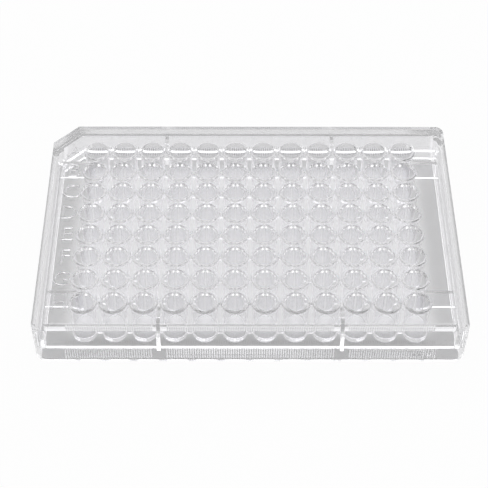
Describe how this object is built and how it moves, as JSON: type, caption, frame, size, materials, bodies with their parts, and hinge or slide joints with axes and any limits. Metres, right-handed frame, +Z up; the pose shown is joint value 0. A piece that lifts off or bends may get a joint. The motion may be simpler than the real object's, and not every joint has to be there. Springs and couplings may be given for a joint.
{
  "type": "96-well plate",
  "caption": "Clear rectangular laboratory plate with a grid of round flat-bottomed wells, a flanged skirt and one cut corner, standing on its open underside.",
  "frame": {"origin": "middle of the underside, on the surface that the plate stands on", "axes": "+X along the rows towards column 12, +Y along the columns towards row A, +Z up; the cut corner is at -X, +Y"},
  "size_m": [0.1278, 0.0854, 0.0143],
  "materials": {
    "clear_plastic": "clear, polished, as moulded"
  },
  "bodies": {
    "root": {"well_plate": "clear_plastic"}
  },
  "joints": []
}
